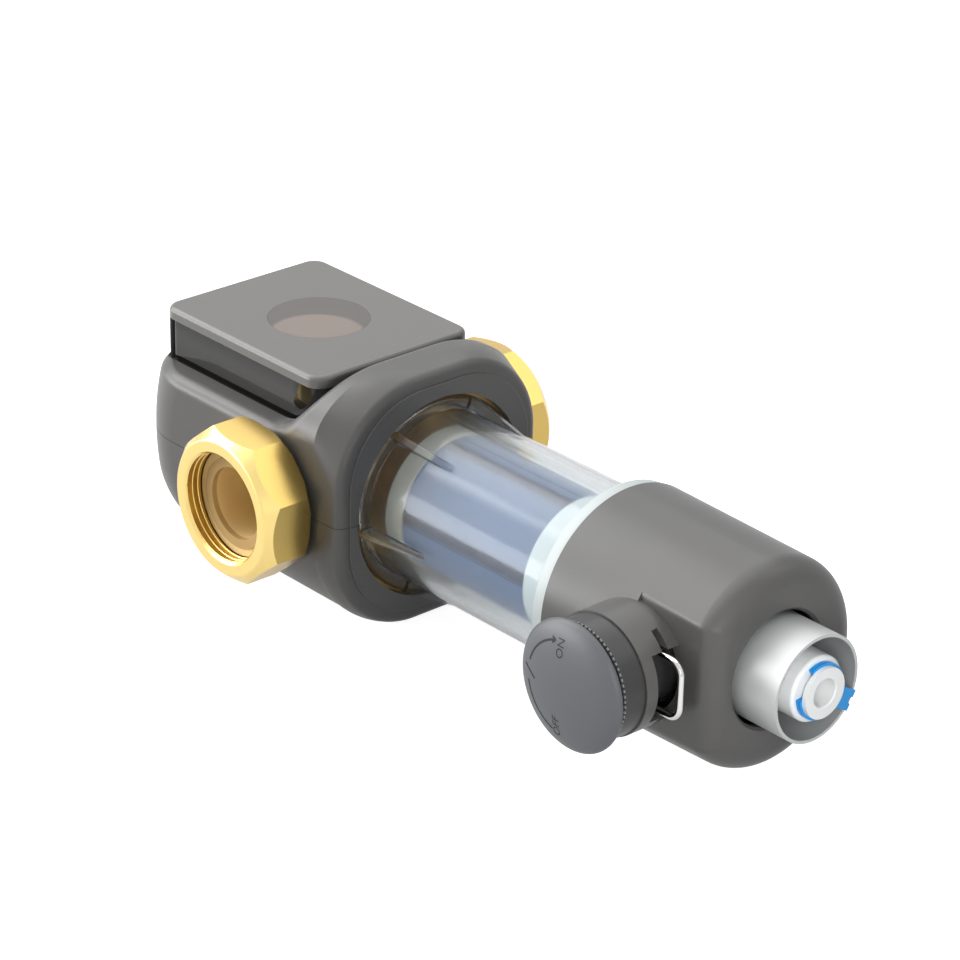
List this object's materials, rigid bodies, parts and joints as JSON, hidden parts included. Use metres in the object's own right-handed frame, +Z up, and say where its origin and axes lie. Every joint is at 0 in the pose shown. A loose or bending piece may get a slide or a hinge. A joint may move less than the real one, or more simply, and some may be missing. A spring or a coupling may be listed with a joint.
{
  "type": "spin-down sediment filter",
  "caption": "Spin-down sediment filter on its flat back: brass head with union nuts in a grey shell, clear bowl over a mesh screen, drain valve with a domed knob.",
  "frame": {"origin": "on the head's flat back, under the crossing of the port axis and the filter axis", "axes": "+X along the filter axis from the head to the drain, +Y along the port axis towards the outlet, +Z up out of the flat back"},
  "size_m": [0.3019, 0.1302, 0.0941],
  "materials": {
    "head_shell": "satin grey moulding, fine texture",
    "panel": "satin light grey plate",
    "panel_box": "polished smoked plastic",
    "window": "clear-lacquered disc",
    "brass": "turned, light gold",
    "clear_plastic": "clear, polished",
    "screen_steel": "fine woven mesh",
    "cage_plastic": "moulded grey-blue",
    "white_plastic": "satin white",
    "seal_rubber": "matt black",
    "gasket_fibre": "tan pressed fibre",
    "steel_sleeve": "satin",
    "steel": "drawn wire and polished ball",
    "screw_steel": "zinc plated",
    "knob_plastic": "satin dark grey",
    "collar_plastic": "satin dark grey",
    "seat_plastic": "low-friction white",
    "blue_plastic": "bright blue"
  },
  "bodies": {
    "filter": {"head_shell_front": "head_shell", "head_shell_rear": "head_shell", "shell_screws": "screw_steel", "front_panel": "panel", "panel_box": "panel_box", "window_lens": "window", "gauge_plug": "brass", "gauge_seal": "seal_rubber", "head_body": "brass", "inlet_tailpiece": "brass", "outlet_tailpiece": "brass", "inlet_gasket": "gasket_fibre", "outlet_gasket": "gasket_fibre", "bowl": "clear_plastic", "bowl_seal": "seal_rubber", "screen_top_ring": "white_plastic", "screen_mesh": "screen_steel", "screen_cage": "cage_plastic", "screen_bottom_ring": "white_plastic", "base_adapter": "white_plastic", "base_seal": "seal_rubber", "drain_housing": "head_shell", "valve_body": "collar_plastic", "valve_seats": "seat_plastic", "knob_collar": "collar_plastic", "drain_sleeve": "steel_sleeve", "push_fit_body": "white_plastic", "tube_seal": "seal_rubber", "collet": "white_plastic", "lock_clip": "blue_plastic"},
    "knob": {"knob": "knob_plastic", "valve_stem": "steel", "stem_seal": "seal_rubber", "valve_ball": "steel"},
    "inlet_nut": {"inlet_nut": "brass"},
    "outlet_nut": {"outlet_nut": "brass"},
    "wire_clip": {"wire_clip": "steel"}
  },
  "joints": [
    {"name": "knob_turn", "type": "hinge", "parent": "filter", "child": "knob", "pos_m": [0.1682, 0, 0.0463], "axis": [0, 1, 0], "range_deg": [0, 90]},
    {"name": "inlet_nut_swivel", "type": "hinge", "parent": "filter", "child": "inlet_nut", "pos_m": [0, 0, 0.0463], "axis": [0, 1, 0], "continuous": true},
    {"name": "outlet_nut_swivel", "type": "hinge", "parent": "filter", "child": "outlet_nut", "pos_m": [0, 0, 0.0463], "axis": [0, 1, 0], "continuous": true},
    {"name": "wire_clip_pull", "type": "slide", "parent": "filter", "child": "wire_clip", "axis": [1, 0, 0], "range_m": [0, 0.024]}
  ]
}
